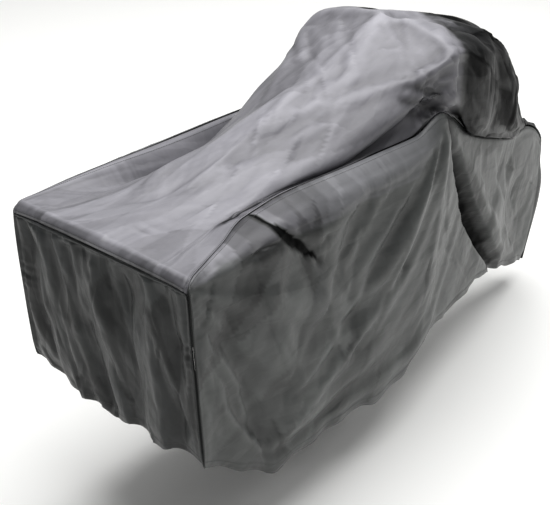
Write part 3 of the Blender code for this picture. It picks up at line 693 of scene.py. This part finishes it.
def panel(name, grid, outward, material, node_name, painted_paling, painted_shade, light, stitched):
    """A finished panel: its sheet, thickness, finish, stitches and frame calls.

    The painted paling is how pale its upright and its level cloth are painted, as painted light; the painted
    shade, how far each point lies in a closed fold and is painted dark; and light, how much lighter each
    facet is painted than the rest.
    """
    sheet = sheet_object(name, grid, outward)
    hollow = ((blurred(grid, 1) - grid) * normals_of(grid, outward)).sum(-1)
    lying = np.clip((blurred(normals_of(grid, outward), 3)[..., 2] - LEVEL_FROM) / LEVEL_OVER, 0, 1)
    # painted light makes level cloth paler, and painted shade makes cloth in a closed fold dark
    pale = (painted_paling[0] + (painted_paling[1] - painted_paling[0]) * lying) * (1 - painted_shade) + PAINTED_SHADE_VALUE * painted_shade
    for label, values in (("crease", np.clip(0.5 - hollow / CREASE_DEPTH, 0, 1)), ("faded", pale),
                          ("facet", 1 + light)):
        attribute = sheet.data.attributes.new(label, "FLOAT", "POINT")
        attribute.data.foreach_set("value", values.reshape(-1).astype(np.float32))
    thick = sheet.modifiers.new("Thickness", "SOLIDIFY")
    thick.thickness, thick.offset, thick.use_even_offset = SHEET, -1, False
    sheet.data.materials.append(material)
    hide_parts(node_name)
    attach(sheet, "root")
    thread = stitches(name + "_thread", grid, outward, stitched)
    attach(thread, "root")


TOP_FOLDS = bent_folds(
    (0.05, 0.1, 0.1, 0.36, 0.035, -0.008), (-0.1, 0.3, -0.03, 0.66, 0.04, 0.014),
    (0.03, 0.42, 0.1, 0.78, 0.035, -0.013), (-0.14, 0.46, -0.1, 0.84, 0.035, -0.011),
    (0.1, 0.6, 0.02, 0.98, 0.045, 0.011), (0.02, 1.06, 0.15, 1.24, 0.035, -0.014),
    (-0.06, 1.08, -0.1, 1.34, 0.045, -0.011), (0.06, 1.3, 0.1, 1.56, 0.04, -0.017),
    (-0.06, 1.38, -0.02, 1.6, 0.04, 0.011),
)
left_half, right_half = lofted(TOP_POINTS, TOP_CELLS, 1), lofted(TOP_POINTS, TOP_CELLS, -1)
top_grid = np.concatenate([right_half[:, :0:-1], left_half], axis=1)
left_grid, right_grid = lofted(SIDE_POINTS, SIDE_CELLS, 1), lofted(SIDE_POINTS, SIDE_CELLS, -1)
tail_hem = even_steps(np.array([right_grid[-1, -1], left_grid[-1, -1]]), top_grid.shape[1])
tail_grid = patch(top_grid[-1], tail_hem, right_grid[-1], left_grid[-1])
top_grid = np.concatenate([top_grid, tail_grid[1:]])
TOP_SEWN = ("first row", "first column", "last column")
TOP_LARGER = (1.03, 1.03, 1.03)
top_cloth = draped("top", top_grid, top_grid[..., :2], -1, TOP_FOLDS, TOP_SEWN, (), TOP_LARGER)
middle = [count // 2 for count in top_cloth.shape[:2]]
cut = np.stack([np.broadcast_to(along_line(top_cloth[middle[0]]), top_cloth.shape[:2]),
                np.broadcast_to(along_line(top_cloth[:, middle[1]])[:, None], top_cloth.shape[:2])], -1)
TOP_CRUMPLES = (
    Facets(3, 0.3, 0.11, 0.0085, 1.4, 0.3, 0.27),
    Facets(4, 0.11, 0.05, 0.0018, 1.25, 0.9, 0.12),
)
TOP_CREASES = bent_folds(
    (-0.112, 0.865, -0.045, 0.808, 0.014, -0.004, 0.012, 0.756, 0.014, 0.005, 0.041, 0.64, 0.014, -0.005),
    (-0.026, 0.678, 0.044, 0.516, 0.012, 0.006),
    (-0.061, 0.937, 0.022, 0.862, 0.016, -0.005, 0.07, 0.796, 0.018, 0.007, 0.122, 0.666, 0.018, 0.008),
    (0.12, 0.484, 0.126, 0.605, 0.012, -0.005),
    (0.137, 0.323, 0.134, 0.394, 0.012, 0.005, 0.107, 0.524, 0.014, 0.006),
    (0.083, 0.291, 0.077, 0.381, 0.012, -0.006, 0.03, 0.47, 0.014, -0.006),
    (0.01, 0.533, 0.045, 0.416, 0.014, 0.006, 0.085, 0.31, 0.014, -0.006),
    (0.095, 0.642, 0.121, 0.656, 0.008, -0.005), (0.121, 0.3, 0.15, 0.304, 0.008, 0.004),
    (0.04, 1.005, 0.096, 0.974, 0.014, -0.006, 0.187, 0.929, 0.014, -0.007),
    (0.066, 1.023, 0.171, 0.929, 0.012, 0.006), (0.092, 0.917, 0.109, 0.94, 0.008, -0.004),
    (0.133, 0.98, 0.215, 0.951, 0.012, -0.006), (0.067, 0.887, 0.134, 0.804, 0.014, 0.005),
    (-0.194, 0.065, -0.045, 0.209, 0.014, -0.004, 0.006, 0.271, 0.014, -0.004),
    (-0.068, 0.062, -0.005, 0.14, 0.012, 0.004, 0.07, 0.255, 0.012, 0.004),
    # the hood's hard folds behind the highest point
    (0.141, 1.126, 0.217, 1.046, 0.018, -0.012),
    (0.155, 1.331, 0.206, 1.268, 0.02, -0.014, 0.207, 1.301, 0.018, -0.012),
    (0.213, 1.169, 0.199, 1.271, 0.016, 0.012), (0.235, 1.024, 0.226, 1.195, 0.014, 0.008),
    (0.1, 1.14, 0.12, 1.33, 0.02, 0.01), (0.204, 1.324, 0.182, 1.424, 0.016, -0.012),
    edge=CREASED, lean=PLEAT,
)
# On the left wall under the highest point, as (place, height): the ripples that run to the pinch.
WALL_CREASES = bent_folds(
    (0.84, 1.034, 0.894, 1.024, 0.016, -0.007, 0.965, 0.985, 0.016, -0.01),
    (0.845, 0.998, 0.909, 0.975, 0.016, -0.008, 0.975, 0.938, 0.016, -0.012),
    (0.88, 0.956, 0.965, 0.918, 0.014, -0.009),
)
RIPPLE_SHADE, RIPPLE_DARKEST = 25, 0.6  # painted shade in their troughs, per metre of depth, and at most
POCKET_AT, POCKET_HALF = 0.81, 0.17  # the pocket of painted shade under them, along the seam
POCKET_SHADE, POCKET_CELLS = 0.8, 8  # how dark it is at the seam, and how many cells wide
WALL_FROM, WALL_OVER = 0.17, 0.03  # half width at which the left wall starts, and over which
SWELL, SWELL_LONG = 0.002, 0.30  # height and length of the cloth's slow swells
wall = np.clip((top_cloth[..., 0] - WALL_FROM) / WALL_OVER, 0, 1)
facets, light = crumpled(cut, TOP_CRUMPLES)
facets = facets + wall * fold_height(top_cloth[..., 1:], WALL_CREASES)
facets = facets + soft_noise(cut, seed=6, size=SWELL_LONG) * SWELL
facets = facets + fold_height(top_cloth[..., :2], TOP_CREASES)
top_cloth = sewn(relieved(top_cloth, -1, facets, TOP_SEWN), -1, TOP_SEWN, seed=51, ease=SEAM_EASE)
place = top_cloth[..., 1]
# painted shade on the forward face of the rolled front edge
light = light - ROLL_DARKER * np.clip((ROLL_OVER - place) / ROLL_SOFT, 0, 1)
# painted shade on the hood, less on facets painted lighter
hood = np.clip((place - (HOOD_FROM - HOOD_LEAN * np.abs(top_cloth[..., 0]))) / HOOD_OVER, 0, 1)
hood = hood * np.clip(HOOD_SHUT - HOOD_UNEVEN * light, 0, 1)
pocket = POCKET_SHADE * (1 - from_edges(top_cloth, ("last column",), POCKET_CELLS))
pocket = pocket * np.clip(2 - 2 * np.abs(place - POCKET_AT) / POCKET_HALF, 0, 1)
rippled = -RIPPLE_SHADE * wall * fold_height(top_cloth[..., 1:], WALL_CREASES)
painted_shade = np.maximum(hood, np.maximum(pocket, np.clip(rippled, 0, RIPPLE_DARKEST)))
# The top's base colour is near black, darker than the sides', as painted shade on its hood and in its folds;
# its level cloth is painted pale, as painted light.
panel("top_cloth", top_cloth - ORIGIN, -1, coated_polyester("coated_polyester_top", "#101112", crisp=0.55),
      "top_panel", (0.48, 1.0), painted_shade, light, TOP_STITCHED)


# --- Left side ----------------------------------------------------------------------------------------------
# The side nearest the camera: one panel from the seam under the rim down to the elastic hem, with the long
# valley behind the peak that draws the cloth together from the pinch to the hem.

HEM_WAVE, HEM_RISE, SCALLOP_CELLS = 0.145, 0.009, 16  # length, height and reach of one scallop of the hem
GATHERS, GATHER_CELLS = ((0.085, 0.0016), (0.19, 0.0045)), 9  # length and depth of gathers, and their reach
DRAWN_IN = 0.006  # how far the elastic draws the hem in
AT_HEM = 0.35  # how much of its facets and creases the cloth keeps along the elastic


def gathered(grid, outward, seed):
    """The grid with its hem drawn up in scallops and small gathers over the elastic."""
    hem = along_line(grid[:, -1])
    waves = max(1, round(hem[-1] / HEM_WAVE))
    above = np.arange(grid.shape[1])[::-1]  # cells up from the hem
    fade, close = (np.clip(1 - above / cells, 0, 1) ** power for cells, power in
                   ((SCALLOP_CELLS, 2), (GATHER_CELLS, 1.5)))
    made = grid.copy()
    made[..., 2] += HEM_RISE * np.sin(np.pi * waves * hem / hem[-1])[:, None] ** 2 * fade[None]
    swing = sum(ripples(hem, seed + k, wave) * deep for k, (wave, deep) in enumerate(GATHERS)) - DRAWN_IN
    return made + (swing[:, None] * close[None])[..., None] * normals_of(grid, outward)


def at_hem(grid):
    """1 over the panel, less along the elastic hem, which holds the cloth."""
    return AT_HEM + (1 - AT_HEM) * from_edges(grid, ("last column",), SCALLOP_CELLS)


# The cloth is pulled smooth round the point where it is drawn together, and this much at that point.
PINCH, PINCH_REACH, PINCH_SMOOTH = (0.98, 0.92), 0.50, 0.92


def smooth_pull(flat):
    """1 where the cloth hangs loose, less where it is pulled smooth towards the pinch."""
    away = np.linalg.norm(flat - PINCH, axis=-1)
    return 1 - PINCH_SMOOTH * np.exp(-(away / PINCH_REACH) ** 2)


LEFT_FOLDS = bent_folds(
    (0.41, 0.79, 0.54, 0.6, 0.035, -0.011), (0.64, 0.85, 0.54, 0.6, 0.04, -0.012, 0.58, 0.48, 0.035, -0.009),
    (0.84, 0.76, 0.71, 0.52, 0.04, 0.018, 0.3, 0.34, 0.04, 0.021), (0.78, 0.58, 0.58, 0.43, 0.03, -0.015),
    (0.13, 0.65, 0.22, 0.36, 0.03, -0.013), (0.26, 0.74, 0.36, 0.45, 0.03, 0.011),
    (1.55, 0.56, 1.72, 0.3, 0.04, -0.012),
)
SIDE_SEWN, SIDE_HEM = ("first row", "last row", "first column"), ("last column",)
SIDE_LARGER = (1.0, 1.03, 1.02)
left_cloth = draped("left", left_grid, left_grid[..., 1:], -1, LEFT_FOLDS, SIDE_SEWN, SIDE_HEM, SIDE_LARGER)
cut = left_cloth[..., 1:]
LEFT_CRUMPLES = (
    Facets(13, 0.34, 0.13, 0.012, 1.1, 0.3, 0.9),
    Facets(14, 0.13, 0.06, 0.003, 1.45, 0.9, 0.34),
)
# The cloth that rolls over the rim is painted pale, as painted light, down to a crease. height is that of the
# crease, and pale is how pale the cloth is painted above it.
Rim = namedtuple("Rim", "y height pale")
LEFT_RIM = [Rim(*row) for row in (
    (0.0, 0.85, 0.1), (0.06, 0.85, 0.45), (0.11, 0.866, 0.75), (0.25, 0.863, 0.7), (0.36, 0.846, 0.62),
    (0.42, 0.838, 0.34), (0.52, 0.833, 0.26), (0.82, 0.818, 0.2), (0.98, 0.9, 0.06), (1.87, 0.9, 0.0),
)]
RIM_SOFT, RIM_LEVEL = 0.008, 0.15  # over what height the paint fades out, and how much paler level cloth is painted
SIDE_SWELL = 0.003
SEAM_SHADE = (0.9, 0.5)  # how much painted shade lies at a corner seam, cell by cell from its edge
CLOSED_FOLDS = (  # folds so deep that the cloth in them is painted dark, as painted shade; here height is a share
    Fold((1.01, 0.9), (1.07, 0.75), 0.014, -1.0, KEEN, 2.0),
    Fold((1.07, 0.75), (1.13, 0.66), 0.016, -1.3, KEEN, 2.8),
    Fold((1.13, 0.66), (1.23, 0.52), 0.018, -1.3, KEEN, 3.0),
    Fold((1.23, 0.52), (1.37, 0.36), 0.018, -1.3, KEEN, 3.0),
    Fold((1.37, 0.36), (1.5, 0.23), 0.016, -1.2, KEEN, 2.6),
    Fold((0.306, 0.876), (0.345, 0.838), 0.032, -4.0, TENT, 0.15),
    Fold((0.345, 0.838), (0.385, 0.797), 0.023, -4.0, TENT, 0.15),
    Fold((0.385, 0.797), (0.422, 0.76), 0.012, -4.0, TENT, 0.15),
    Fold((1.02, 0.9), (1.15, 0.828), 0.03, -0.8),
    Fold((1.15, 0.828), (1.4, 0.716), 0.026, -0.7),
)
LEFT_CREASES = bent_folds(
    # the folds that meet in a V under the rim
    (0.398, 0.747, 0.457, 0.631, 0.016, 0.008), (0.463, 0.84, 0.457, 0.631, 0.014, 0.006),
    (0.56, 0.8, 0.457, 0.631, 0.018, -0.009, 0.5, 0.5, 0.014, 0.007),
    # the edges of the light band that runs down to the front
    (0.749, 0.746, 0.589, 0.571, 0.016, -0.009, 0.464, 0.47, 0.016, -0.009, 0.32, 0.42, 0.016, -0.007),
    (0.678, 0.799, 0.488, 0.616, 0.016, -0.007, 0.33, 0.5, 0.016, -0.007),
    # creases towards the front corner
    (0.219, 0.768, 0.285, 0.555, 0.014, 0.008, 0.33, 0.44, 0.014, 0.007),
    (0.103, 0.697, 0.168, 0.522, 0.014, -0.01, 0.202, 0.39, 0.018, -0.018),
    (0.15, 0.66, 0.245, 0.42, 0.026, 0.01), (0.061, 0.68, 0.083, 0.544, 0.01, 0.005),
    (0.008, 0.83, 0.04, 0.744, 0.014, -0.007, 0.01, 0.67, 0.016, 0.008),
    (0.116, 0.526, 0.161, 0.431, 0.014, -0.008),
    # the cloth that rolls over the rim
    (0.247, 0.88, 0.426, 0.82, 0.016, 0.008),
    (0.377, 0.833, 0.572, 0.84, 0.012, -0.006, 0.858, 0.838, 0.012, -0.006),
    (0.115, 0.872, 0.214, 0.858, 0.012, -0.007),
    # the rays that run down from the pinch
    (0.965, 0.9, 0.89, 0.76, 0.014, -0.007, 0.797, 0.6, 0.016, -0.006),
    (0.975, 0.89, 0.93, 0.56, 0.016, 0.008), (0.985, 0.89, 0.985, 0.5, 0.014, -0.006),
    (0.99, 0.88, 1.034, 0.6, 0.014, 0.006), (0.96, 0.915, 0.759, 0.872, 0.014, -0.006),
    # behind the valley
    (1.011, 0.567, 1.155, 0.421, 0.012, -0.006, 1.45, 0.25, 0.012, 0.005),
    (1.436, 0.587, 1.594, 0.536, 0.01, -0.005), (1.448, 0.576, 1.68, 0.246, 0.016, -0.011),
    (1.328, 0.588, 1.556, 0.313, 0.014, -0.006), (1.594, 0.536, 1.759, 0.428, 0.012, 0.006),
    edge=CREASED, lean=PLEAT,
) + (
    # the tuck under the seam
    Fold((0.31, 0.876), (0.35, 0.834), 0.038, -0.018, TENT, 0.35),
    Fold((0.35, 0.834), (0.425, 0.757), 0.026, -0.011, TENT, 0.35),
    # the valley: steep in front, where the loose cloth of the side ends, and with a wide flank behind
    Fold((1.0, 0.93), (1.06, 0.76), 0.018, -0.03, TENT, 2.2),
    Fold((1.06, 0.76), (1.12, 0.66), 0.02, -0.044, TENT, 2.6),
    Fold((1.12, 0.66), (1.22, 0.52), 0.02, -0.052, TENT, 2.8),
    Fold((1.22, 0.52), (1.36, 0.36), 0.02, -0.05, TENT, 2.8),
    Fold((1.36, 0.36), (1.52, 0.2), 0.02, -0.044, TENT, 2.6),
    Fold((1.09, 0.83), (1.195, 0.7), 0.034, 0.007),
    Fold((1.195, 0.7), (1.33, 0.53), 0.036, 0.011),
    Fold((1.33, 0.53), (1.56, 0.27), 0.036, 0.01),
)
facets, light = crumpled(cut, LEFT_CRUMPLES)
facets = facets + soft_noise(cut, seed=16, size=SWELL_LONG) * SIDE_SWELL
facets, light = facets * smooth_pull(cut) + fold_height(cut, LEFT_CREASES), light * smooth_pull(cut)
left_cloth = relieved(left_cloth, -1, facets, SIDE_SEWN, at_hem(left_cloth))
left_cloth = gathered(sewn(left_cloth, -1, SIDE_SEWN, seed=61, ease=SEAM_EASE), -1, seed=21)
# painted light: the cloth that rolls over the rim is painted pale above its crease
pale_from, rim = (np.interp(cut[..., 0], [r.y for r in LEFT_RIM], [r[k] for r in LEFT_RIM]) for k in (1, 2))
rim = rim * np.clip(0.5 + (cut[..., 1] - pale_from) / RIM_SOFT, 0, 1)
# painted shade in the closed folds and along the corner seam at the front
painted_shade = np.clip(-fold_height(cut, CLOSED_FOLDS), 0, 1)
painted_shade[:2] = np.maximum(painted_shade[:2], np.array(SEAM_SHADE)[:, None])
panel("left_cloth", left_cloth - ORIGIN, -1,
      coated_polyester("coated_polyester_left", "#3F4140", turned=math.pi / 2, crisp=0.5),
      "side_panel_left", (rim, rim + RIM_LEVEL), painted_shade, light, SIDE_STITCHED)


# --- Right side ---------------------------------------------------------------------------------------------
# The same cut on the far side, sewn and hemmed in the same way. It hangs plainer, with its own folds, and is
# not drawn together.

RIGHT_FOLDS = bent_folds(
    (0.3, 0.8, 0.44, 0.46, 0.04, -0.011), (0.62, 0.82, 0.5, 0.4, 0.045, 0.014),
    (0.86, 0.8, 0.76, 0.36, 0.045, -0.014), (0.99, 0.86, 1.16, 0.6, 0.04, -0.025, 1.48, 0.26, 0.045, -0.034),
    (1.1, 0.82, 1.34, 0.52, 0.045, 0.017), (0.12, 0.7, 0.2, 0.42, 0.035, -0.011),
)
right_cloth = draped("right", right_grid, right_grid[..., 1:], 1, RIGHT_FOLDS, SIDE_SEWN, SIDE_HEM,
                     SIDE_LARGER)
cut = right_cloth[..., 1:]
RIGHT_CRUMPLES = (
    Facets(23, 0.34, 0.13, 0.012, 1.25, 0.3, 0.9),
    Facets(24, 0.13, 0.06, 0.003, 1.6, 0.9, 0.34),
)
facets, light = crumpled(cut, RIGHT_CRUMPLES)
facets = facets + soft_noise(cut, seed=26, size=SWELL_LONG) * SIDE_SWELL
right_cloth = relieved(right_cloth, 1, facets, SIDE_SEWN, at_hem(right_cloth))
right_cloth = gathered(sewn(right_cloth, 1, SIDE_SEWN, seed=71, ease=SEAM_EASE), 1, seed=31)
# painted light: the right side's level cloth is painted paler
panel("right_cloth", right_cloth - ORIGIN, 1,
      coated_polyester("coated_polyester_right", "#3F4140", turned=math.pi / 2, crisp=0.5),
      "side_panel_right", (0.0, 0.30), np.zeros_like(light), light,
      SIDE_STITCHED)


# --- Front panel --------------------------------------------------------------------------------------------
# A near square panel of the same cloth, sewn on under the rolled front edge, where it is eased in, so that it
# falls in upright folds down to its gathered hem.

FRONT_HEM_CURL = 7  # how late along the front the hem rises to the right corner: 1 is a straight slope
FRONT_FOLDS = bent_folds(
    (-0.24, 0.8, -0.19, 0.42, 0.022, -0.012), (-0.18, 0.82, -0.1, 0.4, 0.024, 0.013),
    (-0.11, 0.82, -0.02, 0.42, 0.022, -0.013), (-0.02, 0.8, 0.05, 0.38, 0.026, 0.012),
    (0.08, 0.78, 0.1, 0.42, 0.024, -0.012), (0.16, 0.74, 0.18, 0.4, 0.028, 0.015),
    (0.24, 0.7, 0.22, 0.4, 0.022, -0.012),
)
front_hem = even_steps(np.array([right_grid[0, -1], left_grid[0, -1]]), top_grid.shape[1])
late = np.linspace(1, 0, len(front_hem)) ** FRONT_HEM_CURL
front_hem[:, 2] = front_hem[-1, 2] + late * (front_hem[0, 2] - front_hem[-1, 2])
front_grid = patch(top_grid[0], front_hem, right_grid[0], left_grid[0])
FRONT_SEWN, FRONT_HEM = TOP_SEWN, ("last row",)
FRONT_LARGER = (1.05, 1.0, 1.01)
front_cloth = draped("front", front_grid, front_grid[..., ::2], 1, FRONT_FOLDS, FRONT_SEWN, FRONT_HEM,
                     FRONT_LARGER)
cut = front_cloth[..., ::2]
FRONT_CRUMPLES = (
    Facets(33, 0.26, 0.055, 0.015, -1.35, 0.2, 0.8),
    Facets(34, 0.12, 0.034, 0.0045, -1.25, 0.8, 0.35),
)
FRONT_CREASES = bent_folds(
    (-0.227, 0.832, -0.223, 0.627, 0.01, 0.007),
    (-0.177, 0.833, -0.151, 0.636, 0.01, -0.01, -0.12, 0.46, 0.01, -0.008),
    (-0.139, 0.823, -0.097, 0.598, 0.012, 0.01, -0.06, 0.43, 0.012, 0.008),
    (-0.059, 0.827, -0.054, 0.626, 0.01, -0.01, -0.01, 0.44, 0.012, -0.01),
    (-0.012, 0.758, 0.0, 0.645, 0.012, 0.009),
    (0.039, 0.824, 0.038, 0.709, 0.01, 0.007, 0.06, 0.48, 0.012, -0.01),
    (0.073, 0.83, 0.073, 0.693, 0.01, -0.008, 0.125, 0.43, 0.012, 0.009),
    (0.106, 0.708, 0.117, 0.579, 0.01, -0.007),
    (0.215, 0.805, 0.194, 0.697, 0.016, -0.008, 0.23, 0.56, 0.016, 0.009),
    edge=CREASED, lean=PLEAT,
)
FRONT_SWELL_LONG = 0.25
facets, light = crumpled(cut, FRONT_CRUMPLES)
facets = facets + soft_noise(cut, seed=36, size=FRONT_SWELL_LONG) * SWELL + fold_height(cut, FRONT_CREASES)
front_cloth = sewn(relieved(front_cloth, 1, facets, FRONT_SEWN), 1, FRONT_SEWN, seed=81, ease=FRONT_EASE)
front_cloth = np.swapaxes(gathered(np.swapaxes(front_cloth, 0, 1), -1, seed=41), 0, 1)
# painted shade along the two corner seams
painted_shade = np.zeros_like(light)
painted_shade[:, :2] = painted_shade[:, :-3:-1] = SEAM_SHADE
# The front's base colour is darker than the sides', as painted shade on its forward face; its level cloth is
# painted paler, as painted light.
panel("front_cloth", front_cloth - ORIGIN, 1, coated_polyester("coated_polyester_front", "#282A2A"),
      "front_panel", (0.0, 0.5), painted_shade, light, FRONT_STITCHED)
